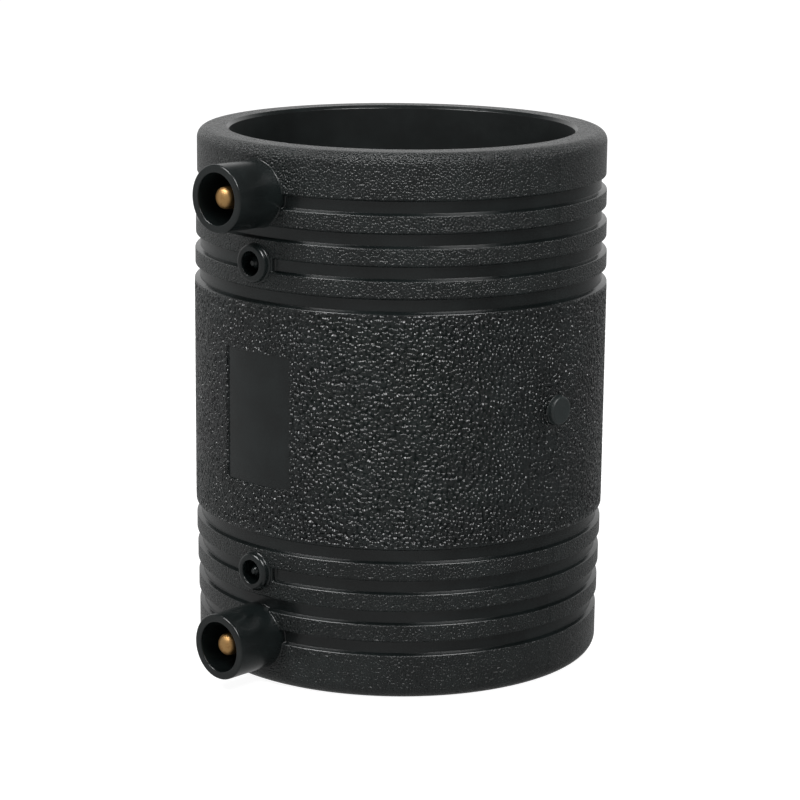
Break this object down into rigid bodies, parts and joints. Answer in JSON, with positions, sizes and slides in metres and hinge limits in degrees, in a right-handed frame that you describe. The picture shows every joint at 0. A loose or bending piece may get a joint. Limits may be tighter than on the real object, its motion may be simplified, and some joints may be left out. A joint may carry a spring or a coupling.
{
  "type": "electrofusion coupler",
  "caption": "Black polyethylene sleeve with grooved ends that joins two plastic pipes, with shrouded terminal pins, melt indicators and an embedded heating wire.",
  "frame": {"origin": "on the bore axis, midway between the two ends", "axes": "+Z along the bore towards the upper end, -Y towards the terminals and melt indicators, +X towards the moulding gate"},
  "size_m": [0.0926, 0.1022, 0.1168],
  "materials": {
    "body_plastic": "satin black polyethylene, fine grain on the lands and a pebbled middle band",
    "pin_brass": "turned brass, lightly polished tip",
    "indicator_plastic": "smooth black polyethylene",
    "wire_alloy": "bare resistance wire"
  },
  "bodies": {
    "root": {"coupler_body": "body_plastic", "upper_terminal_pin": "pin_brass", "lower_terminal_pin": "pin_brass", "upper_indicator_pin": "indicator_plastic", "lower_indicator_pin": "indicator_plastic", "heating_wire": "wire_alloy"}
  },
  "joints": []
}
